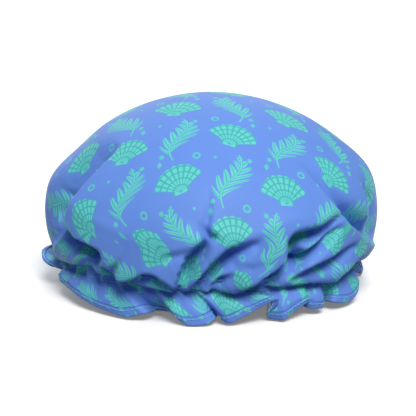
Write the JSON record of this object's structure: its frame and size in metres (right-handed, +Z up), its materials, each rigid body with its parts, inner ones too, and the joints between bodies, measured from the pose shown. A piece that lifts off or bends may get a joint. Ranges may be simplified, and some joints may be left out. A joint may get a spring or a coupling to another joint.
{
  "type": "shower cap",
  "caption": "Lined shower cap of blue cloth with a teal print, gathered by an elastic in a channel above a bound frill, standing on its frill",
  "frame": {"origin": "on the standing plane, under the middle of the cap's outline", "axes": "+Z up through the top of the crown, -Y towards the front of the cap, +X to the right as seen from the front"},
  "size_m": [0.2414, 0.2408, 0.1403],
  "materials": {
    "printed_cloth": "satin microfibre",
    "binding_cloth": "satin microfibre",
    "lining_cloth": "smooth coated",
    "elastic": "ribbed",
    "teal_thread": "satin",
    "white_thread": "satin"
  },
  "bodies": {
    "root": {"outer_shell": "printed_cloth", "lining": "lining_cloth", "elastic_band": "elastic", "elastic_tack": "white_thread", "channel_stitch_upper": "teal_thread", "channel_stitch_lower": "teal_thread", "edge_binding": "binding_cloth", "binding_stitch_outer": "teal_thread", "binding_stitch_inner": "white_thread"}
  },
  "joints": []
}
